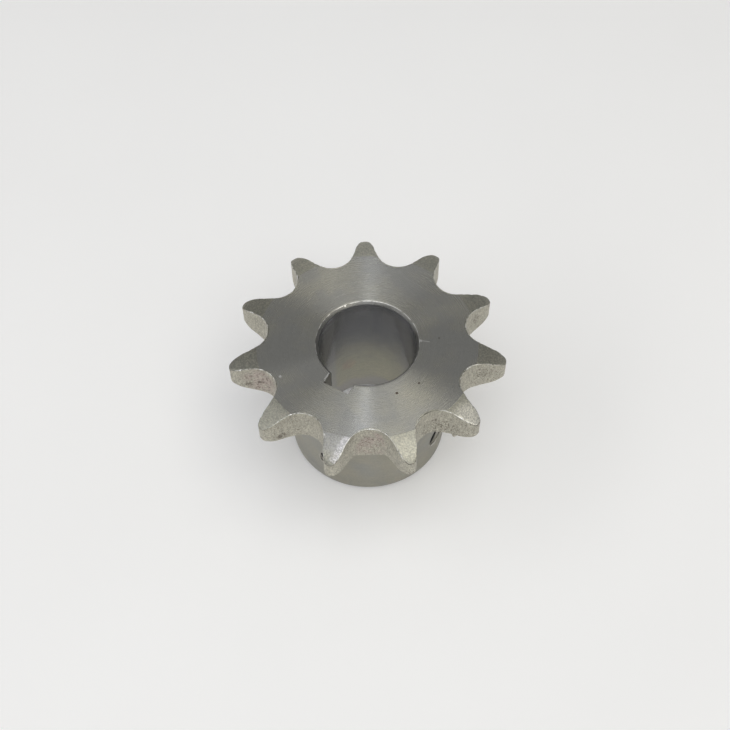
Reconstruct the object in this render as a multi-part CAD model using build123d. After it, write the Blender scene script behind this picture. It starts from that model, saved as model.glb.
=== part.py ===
"""Roller-chain sprocket for 12.7 mm (half-inch) chain, hub on one side.

The wheel is one steel piece: a toothed plate on top and a round hub below it, bored
through and keyed. Two hexagon-socket set screws in the hub hold it on its shaft, one
over the keyway and one a quarter turn round. Millimetres, +Z up, the bore along Z, the
hub's end face at Z = 0 and the keyway towards -Y.
"""
from build123d import *
from math import acos, atan2, cos, degrees, hypot, radians, sin, tan
import os

# Chain and teeth
CHAIN_PITCH = 12.7            # link length of the chain
ROLLER_DIAMETER = 7.92        # the chain's roller
ROLLER_CLEARANCE = 0.16       # play all round a seated roller
TOOTH_COUNT = 11
ADDENDUM_FACTOR = 0.6         # tip height of a standard tooth, as a share of the pitch
PLATE_THICKNESS = 7.2         # across the toothed plate
GAP_LEAD = -1.9               # degrees from the keyway to the nearest tooth gap

# Side relief that lets the link plates drop over the teeth
RELIEF_START = 2.35           # from the pitch circle inwards to where the relief begins
RELIEF_DEPTH = 1.9            # taken off each side at the tooth tip
RELIEF_RADIUS = 12.7          # curvature of the relief, seen in section

# Hub
HUB_DIAMETER = 30.0
HUB_HEIGHT = 20.8             # from the end face to the toothed plate
HUB_CHAMFER = 0.8             # on the end face's rim
HUB_FILLET = 0.8              # left by the turning tool where hub and plate meet

# Bore and keyway
BORE_DIAMETER = 18.0
BORE_CHAMFER = 0.45
KEYWAY_WIDTH = 5.0
KEYWAY_DEPTH = 2.3            # from the bore's crown to the keyway's floor

# Set screws; threads are left plain at their outside diameter
THREAD_DIAMETER = 4.9         # M5 hole as cut
THREAD_CLEARANCE = 0.05       # between hole and screw, all round
SCREW_HEIGHT = 7.5            # screw axes above the hub's end face
SCREW_RECESS = 0.7            # screw heads below the hub's surface
KEY_SCREW_LENGTH = 3.0
SIDE_SCREW_LENGTH = 5.0
SIDE_SCREW_ANGLE = 90.0       # degrees round from the keyway
SOCKET_WIDTH = 2.5            # across the flats of the hexagon
SOCKET_DEPTH = 1.6
POINT_DIAMETER = 2.6          # cup point's rim
CUP_DEPTH = 0.6

# Worked out from the sizes above
HALF_PITCH_ANGLE = 180 / TOOTH_COUNT
PITCH_RADIUS = CHAIN_PITCH / 2 / sin(radians(HALF_PITCH_ANGLE))
TIP_RADIUS = CHAIN_PITCH / 2 * (ADDENDUM_FACTOR + 1 / tan(radians(HALF_PITCH_ANGLE)))
SEAT_RADIUS = ROLLER_DIAMETER / 2 + ROLLER_CLEARANCE
HUB_RADIUS = HUB_DIAMETER / 2
BORE_RADIUS = BORE_DIAMETER / 2
KEYWAY_FLOOR = BORE_RADIUS + KEYWAY_DEPTH
RELIEF_INNER_RADIUS = PITCH_RADIUS - RELIEF_START
TOTAL_LENGTH = HUB_HEIGHT + PLATE_THICKNESS
KEYWAY_ANGLE = -90.0          # the keyway's direction, counted from +X
CUT_MARGIN = 1.0              # how far cutting shapes run past what they cut


def polar(radius, angle):
    """The point at a radius and an angle in degrees from +X."""
    return Vector(radius * cos(radians(angle)), radius * sin(radians(angle)))


def arc_about(centre, radius, start, end):
    """An arc about a centre, from one angle to another, in degrees from +X."""
    return CenterArc(centre, radius, start, end - start)


def turned_blank():
    """Hub and plate as they leave the lathe, before the teeth are cut."""
    relief_top = TOTAL_LENGTH - RELIEF_DEPTH
    relief_bottom = HUB_HEIGHT + RELIEF_DEPTH
    fillet_centre = (HUB_RADIUS + HUB_FILLET, HUB_HEIGHT - HUB_FILLET)
    outline = [
        Polyline(
            (HUB_RADIUS, HUB_HEIGHT - HUB_FILLET),
            (HUB_RADIUS, HUB_CHAMFER),
            (HUB_RADIUS - HUB_CHAMFER, 0),
            (BORE_RADIUS + BORE_CHAMFER, 0),
            (BORE_RADIUS, BORE_CHAMFER),
            (BORE_RADIUS, TOTAL_LENGTH - BORE_CHAMFER),
            (BORE_RADIUS + BORE_CHAMFER, TOTAL_LENGTH),
            (RELIEF_INNER_RADIUS, TOTAL_LENGTH),
        ),
        RadiusArc((RELIEF_INNER_RADIUS, TOTAL_LENGTH), (TIP_RADIUS, relief_top), RELIEF_RADIUS),
        Line((TIP_RADIUS, relief_top), (TIP_RADIUS, relief_bottom)),
        RadiusArc((TIP_RADIUS, relief_bottom), (RELIEF_INNER_RADIUS, HUB_HEIGHT), RELIEF_RADIUS),
        Line((RELIEF_INNER_RADIUS, HUB_HEIGHT), (HUB_RADIUS + HUB_FILLET, HUB_HEIGHT)),
        arc_about(fillet_centre, HUB_FILLET, 90, 180),
    ]
    section = Plane.XZ * make_face(outline)
    return revolve(section, Axis.Z)


def tooth_gap_outline():
    """One tooth gap, centred on +Y: the seat, working curve, straight and topping curve.

    The curves follow the standard roller-chain tooth form. The right flank is worked out
    round the seated roller and mirrored, and the outline is closed outside the tips.
    """
    working_angle = 35 + 60 / TOOTH_COUNT
    flank_angle = working_angle - (18 - 56 / TOOTH_COUNT)
    working_offset = 0.8 * ROLLER_DIAMETER
    topping_offset = 1.4 * ROLLER_DIAMETER
    straight_length = ROLLER_DIAMETER * (
        1.4 * sin(radians(17 - 64 / TOOTH_COUNT)) - 0.8 * sin(radians(18 - 56 / TOOTH_COUNT))
    )
    roller = Vector(0, PITCH_RADIUS)
    working_centre = roller - polar(working_offset, -working_angle)
    working_radius = working_offset + SEAT_RADIUS
    topping_centre = roller + polar(topping_offset, -HALF_PITCH_ANGLE)
    working_end = working_centre + polar(working_radius, -flank_angle)
    straight_end = working_end + polar(straight_length, 90 - flank_angle)

    # The topping curve runs from the straight to just outside the tip circle
    spoke = straight_end - topping_centre
    topping_radius = spoke.length
    outer_radius = TIP_RADIUS + CUT_MARGIN / 4
    centre_distance = hypot(topping_centre.X, topping_centre.Y)
    inward_angle = degrees(atan2(-topping_centre.Y, -topping_centre.X)) % 360
    sweep = (topping_radius**2 + centre_distance**2 - outer_radius**2) / (
        2 * topping_radius * centre_distance
    )
    topping_start = degrees(atan2(spoke.Y, spoke.X)) % 360
    topping_end = inward_angle - degrees(acos(sweep))
    corner = topping_centre + polar(topping_radius, topping_end)

    top = TIP_RADIUS + CUT_MARGIN
    right = [
        arc_about(roller, SEAT_RADIUS, -90, -working_angle),
        arc_about(working_centre, working_radius, -working_angle, -flank_angle),
        Line(working_end, straight_end),
        arc_about(topping_centre, topping_radius, topping_start, topping_end),
        Polyline(corner, (corner.X, top), (0, top)),
    ]
    left = [mirror(edge, Plane.YZ) for edge in right]
    return make_face(right + left)


def cut_teeth(blank):
    """Cut every tooth gap through the plate; the first lies beside the keyway."""
    gap = extrude(Pos(0, 0, HUB_HEIGHT) * tooth_gap_outline(), PLATE_THICKNESS)
    first = Rot(0, 0, KEYWAY_ANGLE - 90 + GAP_LEAD) * gap
    step = 360 / TOOTH_COUNT
    gaps = [Rot(0, 0, step * number) * first for number in range(TOOTH_COUNT)]
    return blank - gaps


def keyway_cutter():
    """The broached keyway, from the bore's axis out to its floor, at -Y."""
    return Box(
        KEYWAY_WIDTH,
        KEYWAY_FLOOR,
        TOTAL_LENGTH + 2 * CUT_MARGIN,
        align=(Align.CENTER, Align.MAX, Align.CENTER),
    ).moved(Pos(0, 0, TOTAL_LENGTH / 2))


def screw_place(angle, radius):
    """A frame at a set screw's axis, its +Z pointing outwards from the bore."""
    outwards = polar(1, KEYWAY_ANGLE + angle)
    return Plane(origin=outwards * radius + Vector(0, 0, SCREW_HEIGHT), z_dir=outwards).location


def screw_hole_cutter(angle, inner_radius):
    """A tapped hole from a radius inside the bore or keyway to outside the hub."""
    length = HUB_RADIUS + CUT_MARGIN - inner_radius
    cutter = Cylinder(THREAD_DIAMETER / 2, length, align=(Align.CENTER, Align.CENTER, Align.MIN))
    return screw_place(angle, inner_radius) * cutter


def set_screw(angle, length):
    """A cup-point set screw, its socket end sunk a little below the hub's surface."""
    radius = THREAD_DIAMETER / 2 - THREAD_CLEARANCE
    point_radius = POINT_DIAMETER / 2
    point_height = radius - point_radius
    half_section = Polyline(
        (0, -length + CUP_DEPTH),
        (point_radius, -length),
        (radius, -length + point_height),
        (radius, 0),
        (0, 0),
        close=True,
    )
    body = revolve(Plane.XZ * make_face(half_section), Axis.Z)
    hexagon = RegularPolygon(SOCKET_WIDTH / 2, 6, major_radius=False)
    socket = extrude(Pos(0, 0, -SOCKET_DEPTH) * hexagon, SOCKET_DEPTH + CUT_MARGIN)
    return screw_place(angle, HUB_RADIUS - SCREW_RECESS) * (body - socket)


def sprocket():
    """The whole wheel: turned, toothed, keyed and tapped."""
    wheel = cut_teeth(turned_blank())
    wheel -= keyway_cutter()
    wheel -= screw_hole_cutter(0, KEYWAY_FLOOR - CUT_MARGIN)
    wheel -= screw_hole_cutter(SIDE_SCREW_ANGLE, BORE_RADIUS - CUT_MARGIN)
    return wheel


pieces = {
    "sprocket": sprocket(),
    "set_screw_over_key": set_screw(0, KEY_SCREW_LENGTH),
    "set_screw_beside_key": set_screw(SIDE_SCREW_ANGLE, SIDE_SCREW_LENGTH),
}

os.makedirs("parts", exist_ok=True)
for name, solid in pieces.items():
    solid.label = name
    export_step(solid, f"parts/{name}.step")
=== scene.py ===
"""Chain sprocket in bare machined steel, standing on its hub on a pale studio floor.

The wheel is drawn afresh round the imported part, as one closed skin. Rings of points follow
its section: up the bore, out over the toothed face, down the hobbed tooth flanks, back in
under the plate, down the hub and across the hub's end face. The two set-screw holes are
then tapped into it, and the screws are built to fit their threads.
Lengths are in millimetres until a mesh is made, and angles are counted from +X. Colours are
red, green, blue and opacity. A mark on the steel is given by its centre and its radius.
"""
from math import acos, asin, atan2, ceil, cos, degrees, hypot, pi, radians, sin, tan

import bpy
import numpy as np
from mathutils import Matrix, Vector, noise


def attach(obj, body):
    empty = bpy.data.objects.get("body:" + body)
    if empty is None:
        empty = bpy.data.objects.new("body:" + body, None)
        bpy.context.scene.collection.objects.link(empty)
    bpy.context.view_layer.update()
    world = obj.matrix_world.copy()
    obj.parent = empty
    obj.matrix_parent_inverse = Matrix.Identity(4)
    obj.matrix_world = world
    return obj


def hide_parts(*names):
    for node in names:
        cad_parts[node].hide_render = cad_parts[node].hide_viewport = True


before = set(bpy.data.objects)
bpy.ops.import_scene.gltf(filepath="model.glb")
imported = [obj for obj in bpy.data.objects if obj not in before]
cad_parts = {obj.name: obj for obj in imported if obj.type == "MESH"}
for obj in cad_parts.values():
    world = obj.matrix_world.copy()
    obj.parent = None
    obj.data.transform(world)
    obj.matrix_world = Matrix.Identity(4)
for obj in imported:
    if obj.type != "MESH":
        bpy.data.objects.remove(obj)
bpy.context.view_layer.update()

MM = 0.001

# Chain and teeth, as in the part's source
CHAIN_PITCH = 12.7
ROLLER_DIAMETER = 7.92
ROLLER_CLEARANCE = 0.16
TOOTH_COUNT = 11
ADDENDUM_FACTOR = 0.6
WORKING_FACTOR = 0.8  # roller diameters from the roller to the working curve's centre
TOPPING_FACTOR = 1.4  # and to the topping curve's
GAP_LEAD = -1.9
PLATE_THICKNESS = 7.2
RELIEF_START = 2.35
RELIEF_DEPTH = 1.9
RELIEF_RADIUS = 12.7

# Hub, bore and keyway
HUB_RADIUS = 15.0
HUB_HEIGHT = 20.8
HUB_CHAMFER = 0.8
HUB_FILLET = 0.8
BORE_RADIUS = 9.0
BORE_CHAMFER = 0.45
KEYWAY_ANGLE = -90.0
KEYWAY_HALF_WIDTH = 2.5
KEYWAY_FLOOR = 11.3

# Set screws
SCREW_HEIGHT = 7.5
SCREW_ANGLES = {"set_screw_over_key": -90.0, "set_screw_beside_key": 0.0}
SCREW_LENGTHS = {"set_screw_over_key": 3.0, "set_screw_beside_key": 5.0}
SCREW_RECESS = 0.7
THREAD_PITCH = 0.8
THREAD_MAJOR = 2.45
THREAD_MINOR = 2.07
THREAD_CLEARANCE = 0.05
THREAD_FLAT = 0.12  # share of the pitch that is flat at the minor radius
THREAD_SLOPES = 0.72  # and that rises to the major one and falls again
SOCKET_WIDTH = 2.5
SOCKET_DEPTH = 1.6
SOCKET_RIM = 0.16  # broken edge round the socket's mouth
DRILL_TIP = 0.16  # depth of the cone at the socket's bottom
HEAD_CHAMFER = 0.32
HEAD_FLAT = 2.08  # radius of the head's flat ring
POINT_RADIUS = 1.3
CUP_DEPTH = 0.6
AXIS_GAP = 0.05  # radius of the flats that close a screw on its axis

# Worked out from the sizes above
STEP_ANGLE = 360 / TOOTH_COUNT
HALF_STEP = STEP_ANGLE / 2
PITCH_RADIUS = CHAIN_PITCH / 2 / sin(radians(HALF_STEP))
TIP_RADIUS = CHAIN_PITCH / 2 * (ADDENDUM_FACTOR + 1 / tan(radians(HALF_STEP)))
SEAT_RADIUS = ROLLER_DIAMETER / 2 + ROLLER_CLEARANCE
RELIEF_INNER = PITCH_RADIUS - RELIEF_START
TOTAL_HEIGHT = HUB_HEIGHT + PLATE_THICKNESS
FIRST_GAP = KEYWAY_ANGLE + GAP_LEAD

# Fineness of the skin
POINTS_PER_HALF_GAP = 36
CORNER_POINTS = 30  # along the rounding of a tip's corner
CORNER_STRIP = 0.2  # degrees, beside the keyway's corners
LEAST_STEP = 0.09  # degrees, between a tooth's column and one of the keyway's
BORE_RINGS = 13
FACE_RADII = 13.0, 14.3, 15.8, 17.2
RELIEF_RINGS = 9
FLANK_RINGS = 18
UNDER_RINGS = 7
FILLET_RINGS = 6
HUB_RINGS = 10
END_RADII = 13.4, 12.7
RELIEF_SEAM = 0.05  # half width of the strip where face and relief meet
TAP_COLUMNS = 48  # round a tapped hole
SCREW_COLUMNS = 60
TAP_STEP = 0.1  # from ring to ring
SCREW_STEP = 0.08
WHEEL_SHARPNESS = 38.0  # degrees between faces, from which an edge stays sharp
SCREW_SHARPNESS = 32.0

# Edges and corners
TIP_ROUNDING = 0.45  # how far the tips' corners are rounded, along the outline
EDGE_RADIUS = 0.06  # broken edges between faces and flanks
EDGE_LEVEL = 0.04  # reach of a chamfer's broken edge over the surface beside it
EDGE_SLANT = 0.03  # and over the chamfer, each way
HUB_EDGE = 0.05  # from the hub's side to its chamfer
CHIP_DEPTH = 0.26  # worst chips along the gap edges
CHIP_ONSET = 0.02  # unevenness from which an edge is chipped
CHIP_STEEPNESS = 1.3
CHIPS_PER_MM = 1.5
SMALL_CHIPS_PER_MM = 2.6
MOUTH_CHIPS_PER_MM = 3.1  # along the keyway's mouth
KNOCK = -18.98, 6.83, 0.6, 0.4  # on a gap's edge: where, how wide, how deep
RIM_WIDTH = 0.3  # flat strip kept between relief line and gap edge

# Marks of making: depths in metres for what is only shaded
RELIEF_GRIT = 55e-6  # torn grains on the relief
LINE_DEPTH = 0.7e-6  # the lathe tool's lines round the bore
CHATTER_DEPTH = 4e-6  # and its ripple across them
TORN_DEPTH = 60e-6  # torn steel on the flanks
EDGE_GRIT = 40e-6  # and on the broken edges
FINE_GRIT = 10e-6  # on chamfers, keyway, threads and screws
FLANK_WAVE = 0.012  # depth of the hob's feed marks
FLANK_WAVE_LENGTH = 1.3
FLANK_WANDER = 3  # radians by which the feed marks wander
FLANK_ROUGHNESS = 0.03  # torn, uneven cut of the flanks
BURR_RAGGEDNESS = 0.35
BURR_THICKNESS = 0.14
BURR_ROOT = BURR_THICKNESS + 0.08
BURR_OUTSIDE = (0.3, 0), (0.6, 0.01), (0.88, 0.03), (1, 0.07)  # share of its length, how far in
BURR_INSIDE = (0.97, 0), (0.6, 0.05), (0.3, 0.07)  # the same, beyond the burr's thickness
SMALL_BURR = 0.03  # left all along the lower edges
LONG_BURRS = (  # angle, half width in degrees, length
    (FIRST_GAP + STEP_ANGLE, 8.2, 1.8),
    (-15.25, 0.42, 0.9),
    (-31.0, 6.0, 0.5),
)

# Steel of every surface: two shades where it varies
DARK_STEEL = (0.2, 0.2, 0.185, 1)
BRIGHT_STEEL = (0.95, 0.95, 0.92, 1)
FACE_STEEL = (0.52, 0.52, 0.49, 1), (0.565, 0.555, 0.49, 1)
UNDER_STEEL = (0.53, 0.525, 0.495, 1), (0.57, 0.555, 0.5, 1)
HUB_STEEL = (0.4, 0.395, 0.36, 1), (0.45, 0.43, 0.36, 1)
CHAMFER_STEEL = (0.35, 0.35, 0.335, 1), (0.4, 0.395, 0.375, 1)
RELIEF_STEEL = (0.59, 0.58, 0.492, 1), (0.628, 0.61, 0.505, 1)
# painted reflection that greys one tooth's relief
RELIEF_REFLECTION = (0.475, 0.47, 0.455, 1)
# painted highlight: a bright streak on that tooth's relief
RELIEF_LILAC_HIGHLIGHT = (0.92, 0.9, 0.92, 1)
# painted highlight towards one tooth's tip
RELIEF_TIP_HIGHLIGHT = (1.0, 0.98, 0.9, 1)
# The bore's steel, brightened low down by painted reflection of the lit floor and darkened at the
# top by painted shade
BORE_LOW = (0.65, 0.635, 0.53, 1), (0.75, 0.725, 0.58, 1)
BORE_SHADED_TOP = (0.34, 0.345, 0.365, 1)
BORE_FOOT = (0.57, 0.555, 0.525, 1)
# painted reflection: lighter streaks on the bore's walls
BORE_SHEEN = (0.6, 0.6, 0.64, 1)
# pinkish tint of two patches in the bore
BORE_PINK = (0.62, 0.42, 0.36, 1)
FLANK_STEEL = (0.27, 0.253, 0.213, 1), (0.65, 0.63, 0.538, 1)
FLANK_CLOUD = (0.36, 0.34, 0.29, 1)
FLANK_RUST = (0.54, 0.44, 0.41, 1)
# Broken edges: dark, and bright where burnish carries a painted highlight
EDGE_STEEL = (0.17, 0.165, 0.145, 1), (0.88, 0.88, 0.85, 1)
KEYWAY_STEEL = (0.34, 0.33, 0.29, 1), (0.58, 0.565, 0.51, 1)
# Threads: lightened at the mouth by painted light, darkened deep inside by painted shade
THREAD_STEEL = (0.7, 0.68, 0.62, 1), (0.56, 0.544, 0.496, 1)
THREAD_SHADE = (0.05, 0.048, 0.042, 1)
BLACK_OXIDE = (0.02, 0.02, 0.02, 1), (0.16, 0.155, 0.14, 1)
PIT_BROWN = (0.1, 0.07, 0.05, 1)
PIT_DARK = (0.13, 0.105, 0.09, 1)

# Marks on the face and the chamfers
FACE_PITS = (
    ((9.96, -6.93, TOTAL_HEIGHT), 0.32),
    ((12.37, -3.15, TOTAL_HEIGHT), 0.24),
    ((10.89, 7.29, TOTAL_HEIGHT), 0.17),
)
FACE_FLECKS = ((-9.91, -14.07, TOTAL_HEIGHT), 0.34), ((8.25, 5.13, TOTAL_HEIGHT), 0.36)
FACE_SCRATCH = (8.15, 5.14), (9.97, 5.76), 0.12  # from where, to where, how wide
# The keyway's glint is burnish carrying a painted highlight
KEYWAY_GLINT = (-2.64, -8.9), (-2.64, -10.8), 0.2  # a burnished stretch of the keyway's edge
CHAMFER_NICK = (-7.74, 5.26, 27.9), 0.22
SCRATCH_TAPER = 0.3  # length over which a scratch fades at each end

# Marks in the bore and the screw holes
# Lighter streaks on the bore's walls, which are painted reflection
BORE_SHEENS = ((-8.96, 0.7, 0.0), 0.42), ((4.2, 7.95, 0.0), 0.22)  # upright, how strong
SHEEN_WIDTH = 2.4
BORE_PATCHES = ((-7.4, 5.1, 9.0), 2.0), ((4.4, 7.85, 19.0), 2.8)
FOOT_HEIGHTS = 2.4, 4.2  # between which the greyer foot ends
SHADE_HEIGHTS = 7.5, 20.5  # and the painted shade of the upper part sets in
# Inside the tapped holes painted shade gives way to painted light towards the mouth
OPEN_THREAD = HUB_RADIUS - 0.75, HUB_RADIUS - 0.45  # radii between which it turns bright

# Marks on the teeth
REFLECTION_PATCH = (5.0, -19.2, 27.7), 4.8  # where painted reflection greys one tooth's relief
LILAC_HIGHLIGHT = (7.5, -18.8), (7.3, -24.1), 1.7  # and where painted highlight is brightest
HIGHLIT_TOOTH = (24.4, -4.7, 26.9), 4.8  # another tooth, with painted highlight towards its tip
UNHIGHLIT_EDGE = (16.9, -7.6, 28.0), 2.6  # a stretch without burnish or painted highlight
UNHIGHLIT_TIPS = 24.1, 24.7  # radii where burnish and painted highlight end towards the tips
HIGHLIT_EDGES = (  # stretches with burnish and painted highlight all along
    ((7.3, -21.4, 27.4), 4.6),
    ((11.6, -15.2, 27.9), 4.6),
)
PITTED = (  # rougher patches on the flanks
    ((17.4, -7.2, 22.6), 3.6),
    ((20.6, -5.8, 22.6), 2.6),
    ((20.5, 6.3, 25.0), 2.2),
    ((13.8, 16.3, 24.6), 1.8),
)
DENTS = (
    ((-5.2, -21.8, 22.5), 1.1),
    ((-3.3, -19.27, 22.47), 0.35),
    ((-16.16, -15.47, 22.73), 1.0),
    ((-14.2, -14.65, 23.79), 0.5),
)
STAINS = (  # rust-tinted patches on the flanks
    ((10.2, -14.6, 25.2), 2.6),
    ((9.6, -15.8, 22.6), 3.6),
    ((-13.9, -14.4, 24.2), 4.4),
)

# Studio
FLOOR_HALF_WIDTH = 3000.0
FLOOR_WHITE = (0.9, 0.9, 0.9, 1), (0.86, 0.86, 0.86, 1)
FLOOR_GLOW = 0.12
ROOM_GREY = (0.27, 0.27, 0.27, 1)
WHITE_LIGHT = (1, 1, 1)
COOL_LIGHT = (0.92, 0.97, 1.12)
WARM_LIGHT = (1.12, 1.03, 0.78)
LAMP_DISTANCE = 600.0
LAMPS = {  # across and over, width and length in degrees, radiance, colour
    "overhead": (5, 105, 58, 60, 1.25, WHITE_LIGHT),
    "overhead_side": (25.5, 105, 23, 60, 0.7, WARM_LIGHT),
    "overhead_strip": (-1.5, 105, 5, 60, 1.5, COOL_LIGHT),
    "left": (-52, 105, 16, 60, 1.9, WHITE_LIGHT),
    "right": (71, 90, 18, 60, 0.3, WHITE_LIGHT),
}

# Camera
CAMERA_SIDE = 30.44  # degrees from -Y towards +X
CAMERA_HEIGHT = 55.9  # degrees above the floor
CAMERA_DISTANCE = 221.3  # from the middle of the toothed face
CAMERA_ROLL = -0.9
FRAME_PIXELS = 730
FOCAL_PIXELS = 1216.7
FACE_OFFSET_PIXELS = (2.29, -22.41)  # face centre from the picture's centre, right and down
SENSOR_WIDTH = 36.0


# -------------------- outline of the teeth


def polar(radius, angle):
    """The point at a radius and an angle in degrees."""
    return np.array([radius * cos(radians(angle)), radius * sin(radians(angle))])


def arc(centre, radius, start, end, spacing=0.02):
    """Points along an arc from one angle to another."""
    count = max(2, ceil(abs(radians(end - start)) * radius / spacing))
    return [centre + polar(radius, angle) for angle in np.linspace(start, end, count)]


def half_gap_curve():
    """Fine points from the bottom of a tooth gap to the middle of the next tooth's tip.

    The gap is centred on +Y. Seat, working curve, straight and topping curve follow the
    standard roller-chain form, and the tip is part of the turned blank.
    """
    working_angle = 35 + 60 / TOOTH_COUNT
    pressure_turn = 18 - 56 / TOOTH_COUNT
    topping_turn = 17 - 64 / TOOTH_COUNT
    flank_angle = working_angle - pressure_turn
    straight_length = ROLLER_DIAMETER * (
        TOPPING_FACTOR * sin(radians(topping_turn)) - WORKING_FACTOR * sin(radians(pressure_turn))
    )
    roller = polar(PITCH_RADIUS, 90)
    working_centre = roller - polar(WORKING_FACTOR * ROLLER_DIAMETER, -working_angle)
    working_radius = WORKING_FACTOR * ROLLER_DIAMETER + SEAT_RADIUS
    working_end = working_centre + polar(working_radius, -flank_angle)
    straight_end = working_end + polar(straight_length, 90 - flank_angle)

    topping_centre = roller + polar(TOPPING_FACTOR * ROLLER_DIAMETER, -HALF_STEP)
    spoke = straight_end - topping_centre
    topping_radius = hypot(*spoke)
    topping_start = degrees(atan2(spoke[1], spoke[0])) % 360
    reach = hypot(*topping_centre)
    inward = degrees(atan2(-topping_centre[1], -topping_centre[0])) % 360
    turn = (topping_radius**2 + reach**2 - TIP_RADIUS**2) / (2 * topping_radius * reach)
    topping_end = inward - degrees(acos(turn))
    corner = topping_centre + polar(topping_radius, topping_end)
    corner_angle = degrees(atan2(corner[1], corner[0]))

    flank = arc(roller, SEAT_RADIUS, -90, -working_angle)
    flank += arc(working_centre, working_radius, -working_angle, -flank_angle)[1:]
    flank += arc(topping_centre, topping_radius, topping_start, topping_end)
    tip = arc(np.zeros(2), TIP_RADIUS, corner_angle, 90 - HALF_STEP)
    return rounded_corner(np.array(flank), np.array(tip))


def rounded_corner(before, after):
    """Two curves that meet at a corner, joined with the corner rounded off."""
    corner = before[-1]
    kept_before = before[np.hypot(*(before - corner).T) > TIP_ROUNDING]
    kept_after = after[np.hypot(*(after - corner).T) > TIP_ROUNDING]
    start, end = kept_before[-1], kept_after[0]
    shares = np.linspace(0, 1, CORNER_POINTS)[1:-1, None]
    bend = (1 - shares) ** 2 * start + 2 * shares * (1 - shares) * corner + shares**2 * end
    return np.vstack([kept_before, bend, kept_after])


CURVE = half_gap_curve()
CURVE_RADII = np.hypot(*CURVE.T)
CURVE_TURNS = 90 - np.degrees(np.arctan2(CURVE[:, 1], CURVE[:, 0]))
CURVE_LENGTHS = np.concatenate([[0], np.cumsum(np.hypot(*np.diff(CURVE, axis=0).T))])


def outline_radius(angles):
    """How far the toothed outline lies from the axis, at angles in degrees."""
    from_gap = (angles - FIRST_GAP + HALF_STEP) % STEP_ANGLE - HALF_STEP
    return np.interp(np.abs(from_gap), CURVE_TURNS, CURVE_RADII)


def teeth_angles():
    """Angles of points evenly spaced along the toothed outline."""
    lengths = np.linspace(0, CURVE_LENGTHS[-1], POINTS_PER_HALF_GAP + 1)
    turns = np.interp(lengths, CURVE_LENGTHS, CURVE_TURNS)
    gap = np.concatenate([-turns[::-1], turns[1:-1]])
    gaps = [FIRST_GAP + STEP_ANGLE * number + gap for number in range(TOOTH_COUNT)]
    return np.concatenate(gaps)


def keyway_angles():
    """Angles of the keyway's corners and of points close beside them."""
    floor_corner = degrees(atan2(KEYWAY_HALF_WIDTH, KEYWAY_FLOOR))
    wall_end = degrees(asin(KEYWAY_HALF_WIDTH / BORE_RADIUS))
    chamfer_end = degrees(asin(KEYWAY_HALF_WIDTH / (BORE_RADIUS + BORE_CHAMFER)))
    half = np.concatenate([
        [floor_corner - CORNER_STRIP, floor_corner, floor_corner + CORNER_STRIP],
        np.linspace(floor_corner, chamfer_end, 5)[1:-1],
        np.linspace(chamfer_end, wall_end, 4),
        [wall_end + CORNER_STRIP],
    ])
    return np.concatenate([KEYWAY_ANGLE - half, KEYWAY_ANGLE + half])


def column_angles():
    """The angles of the skin's columns: the keyway's, and the teeth's that don't crowd them."""
    teeth, key = teeth_angles(), keyway_angles()
    apart = np.abs((teeth[:, None] - key[None, :] + 180) % 360 - 180).min(axis=1)
    merged = np.concatenate([teeth[apart > LEAST_STEP], key])
    return np.sort(merged % 360)


ANGLES = column_angles()
TURNS = np.radians(ANGLES)
SPOKES = np.stack([np.cos(TURNS), np.sin(TURNS)], axis=1)
OUTLINE = SPOKES * outline_radius(ANGLES)[:, None]
TANGENTS = np.roll(OUTLINE, -1, axis=0) - np.roll(OUTLINE, 1, axis=0)
TANGENTS /= np.hypot(*TANGENTS.T)[:, None]
INWARDS = np.stack([-TANGENTS[:, 1], TANGENTS[:, 0]], axis=1)


def keyway_reach():
    """How far the keyway's walls and floor lie from the axis, 0 where there is none."""
    off = np.radians((ANGLES - KEYWAY_ANGLE + 180) % 360 - 180)
    corner = atan2(KEYWAY_HALF_WIDTH, KEYWAY_FLOOR)
    floor = KEYWAY_FLOOR / np.cos(np.clip(off, -1, 1))
    wall = KEYWAY_HALF_WIDTH / np.maximum(np.abs(np.sin(off)), 1e-6)
    reach = np.where(np.abs(off) <= corner + 1e-9, floor, wall)
    return np.where(np.abs(off) < pi / 4, reach, 0)


KEYWAY_REACH = keyway_reach()


# -------------------- rings of the skin


def uneven(x, y, z, per_mm):
    """Noise around 0 at a point, with so many bumps in a millimetre."""
    return noise.noise(Vector((x, y, z)) * per_mm)


def raised(points, height):
    """Flat points at a height, or at a height each."""
    heights = np.broadcast_to(height, len(points))
    return np.column_stack([points, heights])


def circle(radius, height):
    """A ring of the skin on a circle."""
    return raised(SPOKES * radius, height)


def keyed(radius, height):
    """A ring on the bore's circle that follows the keyway round."""
    return raised(SPOKES * np.maximum(radius, KEYWAY_REACH)[:, None], height)


def mouth_chips():
    """How far the keyway's edge at the toothed face is broken back, column by column."""
    x, y = (SPOKES * KEYWAY_REACH[:, None]).T
    chips = np.zeros(len(ANGLES))
    for column in np.flatnonzero(KEYWAY_REACH > BORE_RADIUS + BORE_CHAMFER + 0.1):
        chip = uneven(x[column], y[column], 5, MOUTH_CHIPS_PER_MM)
        chips[column] = EDGE_RADIUS * (1 + chip)
    return chips


def keyway_mouth():
    """The ring at the toothed face where bore, keyway and face meet, and its broken edge."""
    chips = mouth_chips()
    rim = keyed(BORE_RADIUS + BORE_CHAMFER + EDGE_LEVEL, TOTAL_HEIGHT)
    on_side = (abs(rim[:, 0]) > KEYWAY_HALF_WIDTH - 0.01) & (rim[:, 1] > -KEYWAY_FLOOR + 0.01)
    rim[:, 0] += np.where(on_side, np.sign(rim[:, 0]) * chips, 0)
    rim[:, 1] -= np.where(on_side, 0, chips)
    return rim, TOTAL_HEIGHT - np.maximum(chips, EDGE_SLANT)


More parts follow.
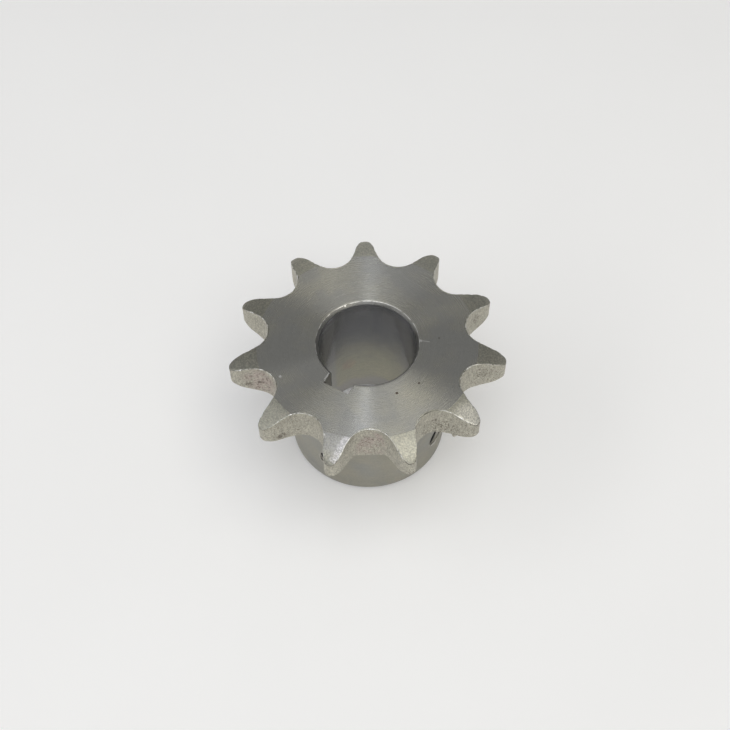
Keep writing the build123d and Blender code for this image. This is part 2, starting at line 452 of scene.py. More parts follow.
def between(inner, outer, shares):
    """Rings at shares of the way from one ring to another."""
    return [inner + (outer - inner) * share for share in shares]


def relief_drop(points):
    """How far the turned relief lies below the face, at flat points."""
    width = TIP_RADIUS - RELIEF_INNER
    chord = hypot(width, RELIEF_DEPTH)
    slope = atan2(RELIEF_DEPTH, width)
    half_turn = asin(chord / 2 / RELIEF_RADIUS)
    centre_across = -RELIEF_RADIUS * sin(slope - half_turn)
    centre_down = RELIEF_RADIUS * cos(slope - half_turn)
    across = np.maximum(np.hypot(*points[:, :2].T) - RELIEF_INNER, 0)
    return centre_down - np.sqrt(RELIEF_RADIUS**2 - (across - centre_across) ** 2)


def on_face(points):
    """Flat points lifted to the toothed face and its relief."""
    return raised(points[:, :2], TOTAL_HEIGHT - relief_drop(points))


def under_plate(points):
    """Flat points lifted to the plate's underside and its relief."""
    return raised(points[:, :2], HUB_HEIGHT + relief_drop(points))


def inset(depth):
    """The outline moved inwards, square to itself."""
    return OUTLINE + INWARDS * depth


def edge_sizes():
    """How far the edge between face and flank is broken back, column by column."""
    knock_x, knock_y, reach, depth = KNOCK
    sizes = np.zeros(len(ANGLES))
    for column, (x, y) in enumerate(OUTLINE):
        chip = uneven(x, y, 7, CHIPS_PER_MM) + 0.5 * uneven(x, y, 3, SMALL_CHIPS_PER_MM)
        bite = CHIP_DEPTH * max(chip - CHIP_ONSET, 0) ** CHIP_STEEPNESS
        near = max(1 - hypot(x - knock_x, y - knock_y) / reach, 0)
        sizes[column] = EDGE_RADIUS + bite + depth * near
    return sizes


def relief_line(offset):
    """The circle where the relief starts, kept inside the outline at the gaps."""
    radii = np.minimum(RELIEF_INNER, np.hypot(*OUTLINE.T) - RIM_WIDTH)
    return SPOKES * (radii + offset)[:, None]


def burr_length():
    """How far the burr hangs below the plate's lower edge, column by column."""
    lengths = np.full(len(ANGLES), SMALL_BURR)
    for angle, half_width, length in LONG_BURRS:
        off = ((ANGLES - angle + 180) % 360 - 180) / half_width
        lengths += length * np.maximum(1 - off**2, 0)
    for column, (x, y) in enumerate(OUTLINE):
        lengths[column] *= 1 + BURR_RAGGEDNESS * uneven(x, y, 40, 1.7)
    return lengths


def flank_flaws(ring):
    """How deep the hob's feed marks and torn steel lie at each point of a flank ring."""
    depths = np.zeros(len(ring))
    for column, (x, y, z) in enumerate(ring):
        wave = sin(2 * pi * z / FLANK_WAVE_LENGTH + FLANK_WANDER * uneven(x, y, z, 0.3))
        torn = uneven(x, y, z, 0.9) + 0.6 * uneven(x, y, z, 2.3)
        depths[column] = FLANK_WAVE * (1 + wave) / 2 + FLANK_ROUGHNESS * max(torn + 0.3, 0)
    return depths


def flawed(ring, share=1.0):
    """A ring of the flanks, cut into by the flanks' flaws or a share of them."""
    ring[:, :2] += INWARDS * (flank_flaws(ring) * share)[:, None]
    return ring


def bore_rings():
    """Up the bore, from the end face to the toothed face, with both chamfers' edges broken."""
    wide, low, high = BORE_RADIUS + BORE_CHAMFER, BORE_CHAMFER, TOTAL_HEIGHT - BORE_CHAMFER
    heights = np.linspace(low + EDGE_LEVEL, high - EDGE_LEVEL, BORE_RINGS)[1:]
    rim, below = keyway_mouth()
    return [
        ("bore", keyed(wide + EDGE_LEVEL, 0)),
        ("edge", keyed(wide - EDGE_SLANT, EDGE_SLANT)),
        ("chamfer", keyed(BORE_RADIUS + EDGE_SLANT, low - EDGE_SLANT)),
        ("edge", keyed(BORE_RADIUS, low + EDGE_LEVEL)),
        *(("bore", keyed(BORE_RADIUS, height)) for height in heights),
        ("edge", keyed(BORE_RADIUS + EDGE_SLANT, high + EDGE_SLANT)),
        ("chamfer", keyed(wide - EDGE_SLANT, below)),
        ("edge", rim),
    ]


def face_rings():
    """Out over the toothed face and its relief, to the edge of the flanks."""
    rim, _ = keyway_mouth()
    inner, *others = FACE_RADII
    face = between(rim, circle(inner, TOTAL_HEIGHT), (0.1, 0.3, 0.55, 0.8, 1))
    face += [circle(radius, TOTAL_HEIGHT) for radius in others]
    face += between(face[-1], on_face(relief_line(-RELIEF_SEAM)), (1 / 3, 2 / 3, 1))
    face.append(on_face(relief_line(0)))
    edge = inset((edge_sizes() + EDGE_LEVEL)[:, None])
    relief = between(relief_line(RELIEF_SEAM), edge, np.linspace(0, 1, RELIEF_RINGS))
    rings = [("face", ring) for ring in face]
    return rings + [("relief", on_face(ring)) for ring in relief]


def upper_edge_rings():
    """Round the broken edge between face and flank."""
    top = TOTAL_HEIGHT - relief_drop(OUTLINE)
    sizes = edge_sizes()
    rings = []
    for turn in (0, 30, 60, 90):
        share = sin(radians(turn))
        aside = sizes * (1 - share)
        drop = sizes * (1 - cos(radians(turn)))
        ring = flawed(raised(inset(aside[:, None]), top - drop), share)
        rings.append(("edge" if turn else "relief", ring))
    return rings


def flank_rings():
    """Down the hobbed flanks."""
    top = TOTAL_HEIGHT - relief_drop(OUTLINE) - edge_sizes()
    low = HUB_HEIGHT + relief_drop(OUTLINE) + SMALL_BURR
    shares = np.linspace(0, 1, FLANK_RINGS + 1)[1:]
    return [("flank", flawed(raised(OUTLINE, top + (low - top) * share))) for share in shares]


def burr_rings():
    """Round the burr that hangs from the plate's lower edge."""
    low = HUB_HEIGHT + relief_drop(OUTLINE)
    length = burr_length()
    rings = [flawed(raised(inset(aside), low - length * share)) for share, aside in BURR_OUTSIDE]
    for share, aside in BURR_INSIDE:
        rings.append(raised(inset(BURR_THICKNESS + aside), low - length * share))
    rings.append(under_plate(inset(BURR_ROOT)))
    return [("flank", ring) for ring in rings]


def under_rings():
    """In under the plate to the hub."""
    shares = np.linspace(0, 1, UNDER_RINGS)[1:]
    relief = between(inset(BURR_ROOT), relief_line(RELIEF_SEAM), shares)
    rings = [("relief", under_plate(ring)) for ring in relief]
    rings.append(("relief", under_plate(relief_line(0))))
    last = under_plate(relief_line(-RELIEF_SEAM))
    level = between(last, circle(FACE_RADII[-1], HUB_HEIGHT), (1 / 3, 2 / 3, 1))
    return rings + [("under", ring) for ring in (last, *level)]


def hub_rings():
    """Round the fillet, down the hub and across its end face to the bore."""
    rings = []
    for turn in np.linspace(90, 180, FILLET_RINGS):
        radius = HUB_RADIUS + HUB_FILLET + HUB_FILLET * cos(radians(turn))
        height = HUB_HEIGHT - HUB_FILLET + HUB_FILLET * sin(radians(turn))
        rings.append(("under", circle(radius, height)))
    heights = np.linspace(HUB_HEIGHT - HUB_FILLET, HUB_CHAMFER + HUB_EDGE, HUB_RINGS)[1:]
    rings += [("hub", circle(HUB_RADIUS, height)) for height in heights]
    narrow = HUB_RADIUS - HUB_CHAMFER
    outer, inner = END_RADII
    rings += [
        ("edge", circle(HUB_RADIUS - EDGE_SLANT, HUB_CHAMFER - EDGE_LEVEL)),
        ("chamfer", circle(narrow + EDGE_LEVEL, EDGE_SLANT)),
        ("edge", circle(narrow - EDGE_LEVEL, 0)),
        ("end", circle(outer, 0)),
    ]
    rim = keyed(BORE_RADIUS + BORE_CHAMFER + EDGE_LEVEL, 0)
    rings += [("end", ring) for ring in between(circle(inner, 0), rim, (0, 0.3, 0.6, 0.85))]
    return rings


# -------------------- meshes


def new_piece(name, points, faces, materials, places):
    """A mesh object from millimetre points, its faces given materials by place."""
    mesh = bpy.data.meshes.new(name)
    mesh.from_pydata((np.asarray(points) * MM).tolist(), [], faces)
    for material in materials:
        mesh.materials.append(material)
    mesh.polygons.foreach_set("material_index", places)
    mesh.update()
    piece = bpy.data.objects.new(name, mesh)
    bpy.context.scene.collection.objects.link(piece)
    return piece


def wheel_skin(finishes):
    """The closed skin of the wheel, before its screw holes are tapped."""
    bore = bore_rings()
    bands = bore + face_rings() + upper_edge_rings() + flank_rings()
    bands += burr_rings() + under_rings() + hub_rings()
    points = np.vstack([ring for _, ring in bands])
    columns = len(ANGLES)
    names = list(finishes)
    in_keyway = KEYWAY_REACH > BORE_RADIUS + 0.02
    in_keyway &= np.roll(in_keyway, -1)
    faces, places = [], []
    for row in range(len(bands)):
        following = (row + 1) % len(bands)
        name = bands[following][0]
        in_bore = following < len(bore) - 1
        for column in range(columns):
            beside = (column + 1) % columns
            faces.append((
                row * columns + column,
                following * columns + column,
                following * columns + beside,
                row * columns + beside,
            ))
            places.append(names.index("keyway" if in_bore and in_keyway[column] else name))
    return new_piece("sprocket_wheel", points, faces, list(finishes.values()), places)


def tube(name, rings, around, material):
    """A closed piece of rings round its own +Z, each given by its radii and its height."""
    columns = len(around)
    points = [
        (radius * cos(angle), radius * sin(angle), height)
        for radii, height in rings
        for radius, angle in zip(np.broadcast_to(radii, columns), around)
    ]
    faces = [
        (
            row * columns + column,
            row * columns + (column + 1) % columns,
            (row + 1) * columns + (column + 1) % columns,
            (row + 1) * columns + column,
        )
        for row in range(len(rings) - 1)
        for column in range(columns)
    ]
    faces.append(tuple(reversed(range(columns))))
    faces.append(tuple(range((len(rings) - 1) * columns, len(rings) * columns)))
    return new_piece(name, points, faces, [material], [0] * len(faces))


def thread_radius(along, around):
    """An M5 thread's radius, so far from the wheel's axis and so far round the screw's."""
    phase = (along / THREAD_PITCH - around / (2 * pi)) % 1
    rise = np.clip((1 - abs(2 * phase - 1) - THREAD_FLAT) / THREAD_SLOPES, 0, 1)
    return THREAD_MINOR + (THREAD_MAJOR - THREAD_MINOR) * rise


def put_in_hub(piece, angle):
    """Turns a piece's own +Z outwards along a screw's axis and lifts it to that axis."""
    outwards = Vector((cos(radians(angle)), sin(radians(angle)), 0))
    upwards = Vector((0, 0, 1))
    axes = Matrix((upwards.cross(outwards), upwards, outwards)).transposed().to_4x4()
    piece.data.transform(Matrix.Translation((0, 0, SCREW_HEIGHT * MM)) @ axes)


def tap_cutter(angle, inner, material):
    """A threaded rod to be cut from the wheel, which widens just outside the hub."""
    around = np.linspace(0, 2 * pi, TAP_COLUMNS, endpoint=False)
    rings = []
    for along in np.arange(inner, HUB_RADIUS + 1, TAP_STEP):
        mouth = THREAD_MAJOR + (along - HUB_RADIUS - 0.02)
        rings.append((np.maximum(thread_radius(along, around), mouth), along))
    cutter = tube("tap", rings, around, material)
    put_in_hub(cutter, angle)
    return cutter


def tap_holes(wheel, thread_finish):
    """Cuts both threaded holes through the hub's wall."""
    wheel.data.materials.append(thread_finish)
    inners = {"set_screw_over_key": KEYWAY_FLOOR - 1, "set_screw_beside_key": BORE_RADIUS - 1}
    for name, angle in SCREW_ANGLES.items():
        cutter = tap_cutter(angle, inners[name], thread_finish)
        cut = wheel.modifiers.new("tap", "BOOLEAN")
        cut.operation = "DIFFERENCE"
        cut.solver = "MANIFOLD"
        cut.object = cutter
        apply_modifiers(wheel)
        bpy.data.objects.remove(cutter)


def apply_modifiers(piece):
    """Replaces a piece's mesh with what its modifiers make of it."""
    bpy.context.view_layer.update()
    depsgraph = bpy.context.evaluated_depsgraph_get()
    mesh = bpy.data.meshes.new_from_object(piece.evaluated_get(depsgraph), depsgraph=depsgraph)
    old = piece.data
    piece.modifiers.clear()
    piece.data = mesh
    bpy.data.meshes.remove(old)
    mesh.name = piece.name


def smooth_but_edges(piece, sharpness):
    """Smooth shading, broken where faces meet at more than an angle."""
    piece.data.shade_smooth()
    piece.data.set_sharp_from_angle(angle=radians(sharpness))


def centre_lay_on_axis(piece):
    """Puts the centre of the mesh's texture space on the bore's axis, so that the turned
    finishes, whose grain runs round that centre, run true to the bore."""
    mesh = piece.data
    mesh.use_auto_texspace = False
    mesh.texspace_location = (0, 0, TOTAL_HEIGHT / 2 * MM)
    mesh.texspace_size = (TIP_RADIUS * MM, TIP_RADIUS * MM, TOTAL_HEIGHT / 2 * MM)


def hexagon_radius(around):
    """The hexagon socket's wall from the screw's axis."""
    sixth = (around + pi / 6) % (pi / 3) - pi / 6
    return SOCKET_WIDTH / 2 / np.cos(sixth)


def set_screw(name, finish):
    """A cup-point set screw with a hexagon socket, its thread running into the hub's."""
    around = np.linspace(0, 2 * pi, SCREW_COLUMNS, endpoint=False)
    head = HUB_RADIUS - SCREW_RECESS
    point = head - SCREW_LENGTHS[name]
    rings = [
        (AXIS_GAP, point + CUP_DEPTH),
        (POINT_RADIUS - 0.12, point + 0.08),
        (POINT_RADIUS - 0.05, point),
        (POINT_RADIUS + 0.05, point + 0.02),
    ]
    for along in np.arange(point + 0.1, head - 0.02, SCREW_STEP):
        point_cone = POINT_RADIUS + (along - point)
        head_cone = THREAD_MAJOR - HEAD_CHAMFER + (head - along)
        thread = thread_radius(along, around) - THREAD_CLEARANCE
        rings.append((np.minimum(thread, min(point_cone, head_cone)), along))
    hexagon = hexagon_radius(around)
    bottom = head - SOCKET_DEPTH
    rings += [
        (HEAD_FLAT, head),
        (hexagon + SOCKET_RIM, head),
        (hexagon + 0.05, head - 0.03),
        (hexagon, head - 0.12),
        (hexagon, bottom),
        (hexagon * 0.4, bottom - 0.1),
        (AXIS_GAP, bottom - DRILL_TIP),
    ]
    screw = tube(name + "_detailed", rings, around, finish)
    put_in_hub(screw, SCREW_ANGLES[name])
    smooth_but_edges(screw, SCREW_SHARPNESS)
    return screw


# -------------------- materials


class Number:
    """A number socket of a finish, which Python's operators add Math nodes to."""

    def __init__(self, finish, socket):
        self.finish = finish
        self.socket = socket

    def __add__(self, other):
        return self.finish.math("ADD", self, other)

    __radd__ = __add__

    def __sub__(self, other):
        return self.finish.math("SUBTRACT", self, other)

    def __rsub__(self, other):
        return self.finish.math("SUBTRACT", other, self)

    def __mul__(self, other):
        return self.finish.math("MULTIPLY", self, other)

    __rmul__ = __mul__


class Finish:
    """A material whose nodes are added by these methods; its sockets take numbers or links."""

    def __init__(self, name, constants):
        self.material = bpy.data.materials.new(name)
        self.material.use_nodes = True
        self.tree = self.material.node_tree
        self.shader = self.tree.nodes["Principled BSDF"]
        for socket, value in constants.items():
            self.shader.inputs[socket].default_value = value

    def node(self, kind, settings, sockets):
        """Adds a node, sets it up, then feeds its sockets, named or counted."""
        node = self.tree.nodes.new(kind)
        for name, value in settings.items():
            setattr(node, name, value)
        for key, value in sockets.items():
            self.feed(socket_of(node.inputs, key), value)
        return node

    def feed(self, socket, value):
        """Links a socket to a Number or another socket, or sets its value."""
        if isinstance(value, Number):
            value = value.socket
        if isinstance(value, bpy.types.NodeSocket):
            self.tree.links.new(value, socket)
        else:
            socket.default_value = value

    def wear(self, **sockets):
        """Feeds what changes over the surface to the shader."""
        for name, value in sockets.items():
            self.feed(self.shader.inputs[name.replace("_", " ")], value)

    def worn_colour(self):
        """The socket that feeds the shader's colour so far."""
        return self.shader.inputs["Base Color"].links[0].from_socket

    def math(self, operation, *values):
        """A number worked out from numbers."""
        node = self.node("ShaderNodeMath", {"operation": operation}, dict(enumerate(values)))
        return Number(self, node.outputs[0])

    def vector_math(self, operation, *values):
        """The node that works out a vector, or a number, from vectors."""
        return self.node("ShaderNodeVectorMath", {"operation": operation}, dict(enumerate(values)))

    def place(self):
        """Where the surface is, in millimetres in the part's frame."""
        coordinates = self.node("ShaderNodeTexCoord", {}, {})
        per_mm = (1 / MM,) * 3
        return self.vector_math("MULTIPLY", coordinates.outputs["Object"], per_mm).outputs[0]

    def parts(self, vector):
        """A vector's three numbers."""
        node = self.node("ShaderNodeSeparateXYZ", {}, {0: vector})
        return [Number(self, socket) for socket in node.outputs]

    def joined(self, x, y, z):
        """A vector of three numbers."""
        return self.node("ShaderNodeCombineXYZ", {}, {0: x, 1: y, 2: z}).outputs[0]

    def noise(self, vector, scale, detail=2.0, roughness=0.5):
        """Soft noise around one half."""
        sockets = {"Vector": vector, "Scale": scale, "Detail": detail, "Roughness": roughness}
        return Number(self, self.node("ShaderNodeTexNoise", {}, sockets).outputs[0])

    def step(self, number, low, high):
        """A soft step from 0 where a number is low to 1 where it is high."""
        node = self.node(
            "ShaderNodeMapRange",
            {"interpolation_type": "SMOOTHSTEP"},
            {"Value": number, "From Min": low, "From Max": high},
        )
        return Number(self, node.outputs[0])

    def mix(self, share, first, second):
        """A colour that goes from one to another as the share goes from 0 to 1."""
        node = self.node(
            "ShaderNodeMix",
            {"data_type": "RGBA"},
            {"Factor_Float": share, "A_Color": first, "B_Color": second},
        )
        return socket_of(node.outputs, "Result_Color")

    def bump(self, height, distance, below=None):
        """A normal bumped by a height from 0 to 1 that stands for a distance."""
        sockets = {"Height": height, "Distance": distance, "Strength": 1.0}
        if below is not None:
            sockets["Normal"] = below
        return self.node("ShaderNodeBump", {}, sockets).outputs[0]

    def within(self, number):
        """A number, but never over 1."""
        return self.math("MINIMUM", number, 1.0)

    def spot(self, place, centre, radius):
        """1 inside a small round mark, fading to 0 at its rim."""
        distance = Number(self, self.vector_math("DISTANCE", place, centre).outputs["Value"])
        return 1 - self.step(distance, radius * 0.5, radius)

    def spots(self, place, marks):
        """The sum of several round marks."""
        return sum(self.spot(place, centre, radius) for centre, radius in marks)

    def scratch(self, place, start, end, width):
        """1 along a thin straight scratch between two points, seen from above."""
        x, y, _ = self.parts(place)
        length = hypot(end[0] - start[0], end[1] - start[1])
        along_x, along_y = (end[0] - start[0]) / length, (end[1] - start[1]) / length
        along = (x - start[0]) * along_x + (y - start[1]) * along_y
        aside = self.math("ABSOLUTE", (x - start[0]) * along_y - (y - start[1]) * along_x)
        begun = self.step(along, 0.0, SCRATCH_TAPER)
        ended = self.step(along, length - SCRATCH_TAPER, length)
        return begun * (1 - ended) * (1 - self.step(aside, width * 0.5, width))

    def round_axis(self, place):
        """A place's radius from the bore's axis, its height, and the direction's two parts."""
        x, y, height = self.parts(place)
        flat = self.joined(x, y, 0.0)
        radius = Number(self, self.vector_math("LENGTH", flat).outputs["Value"])
        cosine, sine, _ = self.parts(self.vector_math("NORMALIZE", flat).outputs[0])
        return radius, height, cosine, sine


def socket_of(sockets, key):
    """A node's socket by its identifier, its name or its number."""
    if isinstance(key, int):
        return sockets[key]
    found = [socket for socket in sockets if socket.identifier == key]
    return found[0] if found else sockets[key]


def turned(name, shades, roughness, along_axis=False, fleck=0.1, grit=0.0):
    """Steel from the lathe: lines that run round the bore and shine across themselves, with
    a grit of torn grains where the tool cut badly."""
    finish = Finish(name, {"Metallic": 1.0, "Anisotropic": 1.0, "Anisotropic Rotation": 0.25})
    place = finish.place()
    radius, height, cosine, sine = finish.round_axis(place)
    across = height if along_axis else radius

    def round_bore(per_turn, per_mm):
        """Noise that runs round the bore."""
        drawn = finish.joined(cosine * per_turn, sine * per_turn, across * per_mm)
        return finish.noise(drawn, 1.0, 2.0)

    coarse = round_bore(0.7, 5.0)
    fine = round_bore(2, 13.0)
    chatter = round_bore(34, 1.5)
    cloud = finish.noise(place, 0.16, 3.0, 0.55)
    grain = finish.noise(place, 3.2, 3.0, 0.6)
    grains = finish.noise(place, 4.4, 2.0, 0.6)
    lines = coarse * 0.3 + fine * 0.7
    steel = finish.mix(finish.step(cloud, 0.35, 0.65), *shades)
    shade = finish.step(lines, 0.3, 0.7) * fleck + finish.step(grain, 0.35, 0.65) * fleck
    rippled = finish.bump(grains, grit, finish.bump(chatter, CHATTER_DEPTH))
    finish.wear(
        Base_Color=finish.mix(shade, steel, DARK_STEEL),
        Roughness=roughness + (fine - 0.5) * 0.1 + (cloud - 0.5) * 0.06,
        Normal=finish.bump(lines, LINE_DEPTH, rippled),
    )
    return finish


def marked_face():
    """The toothed face: turned, with a few pits, two flecks, a scratch, and a burnished
    stretch at the keyway's edge with a painted highlight."""
    finish = turned("turned_face", FACE_STEEL, roughness=0.26)
    place = finish.place()
    pitted = finish.mix(finish.spots(place, FACE_PITS), finish.worn_colour(), PIT_BROWN)
    # the keyway's glint: burnish with a painted highlight
    bright = finish.scratch(place, *FACE_SCRATCH) * 0.7 + finish.scratch(place, *KEYWAY_GLINT)
    bright += finish.spots(place, FACE_FLECKS)
    finish.wear(Base_Color=finish.mix(finish.within(bright), pitted, BRIGHT_STEEL))
    return finish


def toothed_relief():
    """The relief of the teeth: greyer on one tooth by painted reflection, with a streak of painted
    highlight, and bright on another by painted highlight."""
    finish = turned("turned_relief", RELIEF_STEEL, roughness=0.35, fleck=0.24, grit=RELIEF_GRIT)
    place = finish.place()
    grain = finish.noise(place, 2.8, 3.0, 0.75)
    # painted reflection: part of one tooth's relief turned greyer
    reflection = finish.spot(place, *REFLECTION_PATCH) * (finish.step(grain, 0.36, 0.56) * 0.6 + 0.4)
    # painted highlight streak on that tooth's relief
    lilac_highlight = finish.scratch(place, *LILAC_HIGHLIGHT) * (1 - finish.step(grain, 0.42, 0.62) * 0.8)
    specks = finish.step(finish.noise(place, 3.4, 3.0, 0.7), 0.42, 0.58)
    steel = finish.mix(reflection, finish.worn_colour(), RELIEF_REFLECTION)
    # painted highlight towards another tooth's tip
    steel = finish.mix(finish.spot(place, *HIGHLIT_TOOTH) * 0.75, steel, RELIEF_TIP_HIGHLIGHT)
    steel = finish.mix(lilac_highlight * 0.75, steel, RELIEF_LILAC_HIGHLIGHT)
    finish.wear(Base_Color=finish.mix(specks * 0.45, steel, DARK_STEEL))
    return finish


def turned_chamfer():
    """The chamfers of bore and hub, flecked by the tool, with one bright nick."""
    finish = turned("turned_chamfer", CHAMFER_STEEL, roughness=0.38, fleck=0.5, grit=FINE_GRIT)
    nick = finish.spot(finish.place(), *CHAMFER_NICK)
    finish.wear(Base_Color=finish.mix(nick, finish.worn_colour(), BRIGHT_STEEL))
    return finish


def reamed_bore():
    """The bore: bluer and darker towards the toothed face by painted shade, brown and brighter low
    down by painted reflection of the lit floor, with a greyer foot, two pinkish patches and two
    lighter streaks of painted reflection."""
    finish = turned("reamed_bore", BORE_LOW, roughness=0.25, along_axis=True, fleck=0.22)
    finish.shader.inputs["Metallic"].default_value = 0.85
    place = finish.place()
    x, y, height = finish.parts(place)
    level = finish.joined(x, y, 0.0)
    uneven_edge = (finish.noise(place, 0.35, 2.0) - 0.5) * 6
    patches = finish.spots(place, BORE_PATCHES) * finish.noise(place, 1.2, 3.0)
    foot = 1 - finish.step(height + uneven_edge * 0.4, *FOOT_HEIGHTS)
    # painted shade darkens the bore towards the toothed face
    dimmed = finish.step(height + uneven_edge, *SHADE_HEIGHTS)
    # painted reflection: two lighter streaks up the bore's walls
    sheens = sum(finish.spot(level, axis, SHEEN_WIDTH) * share for axis, share in BORE_SHEENS)
    steel = finish.mix(patches * 0.55, finish.worn_colour(), BORE_PINK)
    steel = finish.mix(foot, steel, BORE_FOOT)
    steel = finish.mix(dimmed, steel, BORE_SHADED_TOP)
    finish.wear(Base_Color=finish.mix(sheens, steel, BORE_SHEEN))
    return finish


def hobbed(name):
    """Torn, pitted steel of the hobbed flanks, with drawn marks and rust-tinted stains."""
    finish = Finish(name, {"Metallic": 1.0})
    place = finish.place()
    x, y, z = finish.parts(place)
    grain = finish.noise(place, 3.8, 4.0, 0.8)
    drawn = finish.noise(finish.joined(x * 2.6, y * 2.6, z * 0.8), 1.0, 2.0)
    cloud = finish.noise(place, 0.5, 3.0, 0.6)
    stained = finish.within(finish.spots(place, STAINS)) * finish.step(cloud, 0.3, 0.6)
    pitted = finish.within(finish.spots(place, PITTED) + stained)
    few = finish.step(finish.noise(place, 2.6, 3.0, 0.6), 0.6, 0.68) * 0.7
    many = finish.step(finish.noise(place, 2.8, 3.0, 0.6), 0.54, 0.62) * pitted
    rough = finish.step(finish.noise(place, 1.6, 2.0, 0.6), 0.4, 0.5)
    dents = finish.spots(place, DENTS) * rough * 0.9
    pits = finish.math("MAXIMUM", many, dents)
    pits = finish.math("MAXIMUM", few, pits)
    shades = finish.step(grain, 0.38, 0.6) * 0.75 + finish.step(drawn, 0.35, 0.65) * 0.25
    steel = finish.mix(shades, *FLANK_STEEL)
    steel = finish.mix(finish.step(cloud, 0.45, 0.7) * 0.3, steel, FLANK_CLOUD)
    steel = finish.mix(stained * 0.5, steel, FLANK_RUST)
    finish.wear(
        Base_Color=finish.mix(pits * 0.6, steel, PIT_DARK),
        Roughness=0.5 + (grain - 0.5) * 0.3 + pits * 0.2,
        Normal=finish.bump(grain * 0.7 + drawn * 0.5 - pits * 0.6, TORN_DEPTH),
    )
    return finish


def torn_edge(name):
    """The broken edges: burnished, with painted highlight, bright in stretches; dull and dark in
    others.
    """
    finish = Finish(name, {"Metallic": 1.0})
    place = finish.place()
    radius, *_ = finish.round_axis(place)
    stretch = finish.step(finish.noise(place, 0.45, 3.0, 0.6), 0.3, 0.5)
    dashes = finish.step(finish.noise(place, 0.9, 2.0, 0.6), 0.36, 0.52)
    grain = finish.noise(place, 3.0, 3.0, 0.6)
    # burnish with painted highlight, in stretches, and left out where the edge is dimmed
    burnish_and_highlight = finish.math("MAXIMUM", stretch * dashes, finish.spots(place, HIGHLIT_EDGES))
    dimmed = finish.within(finish.spot(place, *UNHIGHLIT_EDGE) + finish.step(radius, *UNHIGHLIT_TIPS))
    bright = burnish_and_highlight * finish.step(grain, 0.3, 0.5) * (1 - dimmed)
    finish.wear(
        Base_Color=finish.mix(bright, *EDGE_STEEL),
        Roughness=0.5 - bright * 0.18,
        Normal=finish.bump(grain, EDGE_GRIT),
    )
    return finish


def broached(name):
    """The keyway: straight marks along the bore."""
    finish = Finish(name, {"Metallic": 1.0, "Anisotropic": 0.6})
    x, y, z = finish.parts(finish.place())
    marks = finish.noise(finish.joined(x * 5, y * 5, z * 0.15), 1.0, 3.0)
    finish.wear(
        Base_Color=finish.mix(marks, *KEYWAY_STEEL),
        Roughness=0.4 + (marks - 0.5) * 0.2,
        Normal=finish.bump(marks, FINE_GRIT),
    )
    return finish


def cut_thread(name):
    """The tapped threads: bright at the mouth by painted light, and dark inside by painted shade.
    """
    finish = Finish(name, {"Metallic": 1.0})
    place = finish.place()
    radius, *_ = finish.round_axis(place)
    grain = finish.noise(place, 5.0, 3.0)
    steel = finish.mix(grain, *THREAD_STEEL)
    # painted light at the mouth, painted shade deeper in the hole
    finish.wear(
        Base_Color=finish.mix(finish.step(radius, *OPEN_THREAD), THREAD_SHADE, steel),
        Roughness=0.5 + (grain - 0.5) * 0.2,
        Normal=finish.bump(grain, FINE_GRIT),
    )
    return finish


def blackened(name):
    """Black oxide on the set screws, worn to steel on the highest spots."""
    finish = Finish(name, {"Metallic": 0.0, "Specular IOR Level": 0.15})
    place = finish.place()
    grain = finish.noise(place, 4.0, 4.0, 0.6)
    worn = finish.step(finish.noise(place, 1.6, 3.0), 0.6, 0.75)
    finish.wear(
        Base_Color=finish.mix(worn * 0.3, *BLACK_OXIDE),
        Roughness=0.6 + (grain - 0.5) * 0.3,
        Normal=finish.bump(grain, FINE_GRIT),
    )
    return finish


def pale_paint(name):
    """The floor's paint, which glows a little."""
    finish = Finish(name, {
        "Roughness": 0.9,
        "Specular IOR Level": 0.1,
        "Emission Color": (1, 1, 1, 1),
        "Emission Strength": FLOOR_GLOW,
    })
    grain = finish.noise(finish.place(), 0.02, 3.0)
    finish.wear(Base_Color=finish.mix(grain, *FLOOR_WHITE))
    return finish


# -------------------- studio


def place_camera():
    """The camera, so aimed that the toothed face's centre falls at its place in the picture."""
    side, height, roll = radians(CAMERA_SIDE), radians(CAMERA_HEIGHT), radians(CAMERA_ROLL)
    back = Vector((sin(side) * cos(height), -cos(side) * cos(height), sin(height)))
    level = Vector((cos(side), sin(side), 0))
    upward = back.cross(level)
    right = level * cos(roll) + upward * sin(roll)
    up = back.cross(right)
    pixel = CAMERA_DISTANCE / FOCAL_PIXELS
    offset_x, offset_y = FACE_OFFSET_PIXELS
    place = Vector((0, 0, TOTAL_HEIGHT)) + back * CAMERA_DISTANCE
    place += (up * offset_y - right * offset_x) * pixel
    data = bpy.data.cameras.new("studio_camera")
    data.sensor_width = SENSOR_WIDTH
    data.lens = FOCAL_PIXELS * SENSOR_WIDTH / FRAME_PIXELS
    data.clip_start = 0.001
    camera = bpy.data.objects.new("studio_camera", data)
    axes = Matrix((right, up, back)).transposed().to_4x4()
    camera.matrix_world = Matrix.Translation(place * MM) @ axes
    bpy.context.scene.collection.objects.link(camera)
    bpy.context.scene.camera = camera


def lay_floor():
    """A floor far wider than the picture."""
    half = FLOOR_HALF_WIDTH
    corners = [(-half, -half, 0), (half, -half, 0), (half, half, 0), (-half, half, 0)]
    paint = pale_paint("pale_floor")
    floor = new_piece("studio_floor", corners, [(0, 1, 2, 3)], [paint.material], [0])


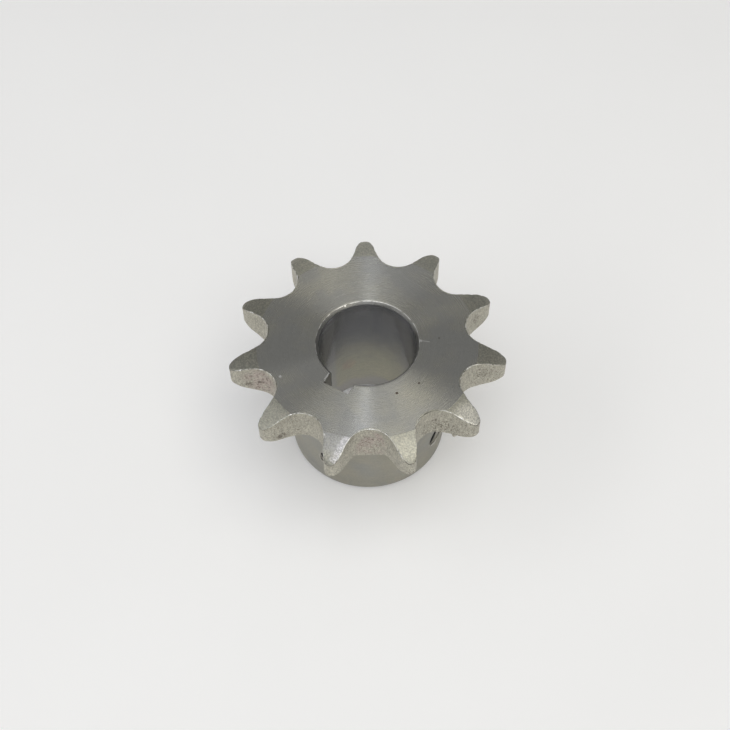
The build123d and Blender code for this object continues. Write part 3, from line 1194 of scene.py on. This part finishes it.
def softbox(name, across, over, width, length, radiance, colour):
    """A flat rectangular lamp aimed at the wheel. Its place is given in degrees: across, to the
    right of the camera, and over, from the horizon behind the wheel up over its top."""
    side = radians(CAMERA_SIDE)
    right = Vector((cos(side), sin(side), 0))
    behind = Vector((-sin(side), cos(side), 0))
    upwards = behind * cos(radians(over)) + Vector((0, 0, sin(radians(over))))
    away = right * sin(radians(across)) + upwards * cos(radians(across))
    level = right * cos(radians(across)) - upwards * sin(radians(across))
    wide = 2 * LAMP_DISTANCE * tan(radians(width / 2))
    long = 2 * LAMP_DISTANCE * tan(radians(length / 2))
    lamp = bpy.data.lights.new(name, "AREA")
    lamp.shape = "RECTANGLE"
    lamp.size = wide * MM
    lamp.size_y = long * MM
    lamp.energy = radiance * pi * wide * long * MM * MM
    lamp.color = colour
    holder = bpy.data.objects.new(name, lamp)
    axes = Matrix((level, away.cross(level), away)).transposed().to_4x4()
    place = away * LAMP_DISTANCE + Vector((0, 0, TOTAL_HEIGHT))
    holder.matrix_world = Matrix.Translation(place * MM) @ axes
    bpy.context.scene.collection.objects.link(holder)


def light_studio():
    """One wide soft lamp overhead with two narrower ones within it, a tall one on the left, a
    weak one on the right, and a dim grey room."""
    world = bpy.data.worlds.new("studio")
    bpy.context.scene.world = world
    world.use_nodes = True
    world.node_tree.nodes["Background"].inputs["Color"].default_value = ROOM_GREY
    for name, lamp in LAMPS.items():
        softbox(name, *lamp)
    bpy.context.scene.view_settings.view_transform = "Standard"


# -------------------- the part


def wheel_finishes():
    """The finish of each of the wheel's surfaces, by the names that its rings go by."""
    finishes = {
        "bore": reamed_bore(),
        "chamfer": turned_chamfer(),
        "edge": torn_edge("torn_edge"),
        "face": marked_face(),
        "relief": toothed_relief(),
        "flank": hobbed("hobbed_flank"),
        "under": turned("turned_underside", UNDER_STEEL, roughness=0.42),
        "hub": turned("turned_hub", HUB_STEEL, roughness=0.34, along_axis=True, fleck=0.16),
        "end": turned("faced_end", UNDER_STEEL, roughness=0.4),
        "keyway": broached("broached_keyway"),
    }
    return {name: finish.material for name, finish in finishes.items()}


def build():
    """The wheel and its two set screws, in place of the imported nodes."""
    wheel = wheel_skin(wheel_finishes())
    tap_holes(wheel, cut_thread("cut_thread").material)
    smooth_but_edges(wheel, WHEEL_SHARPNESS)
    centre_lay_on_axis(wheel)
    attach(wheel, "root")
    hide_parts("sprocket")
    black = blackened("black_oxide").material
    for name in SCREW_ANGLES:
        screw = set_screw(name, black)
        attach(screw, "root")
        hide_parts(name)


place_camera()
lay_floor()
light_studio()
build()
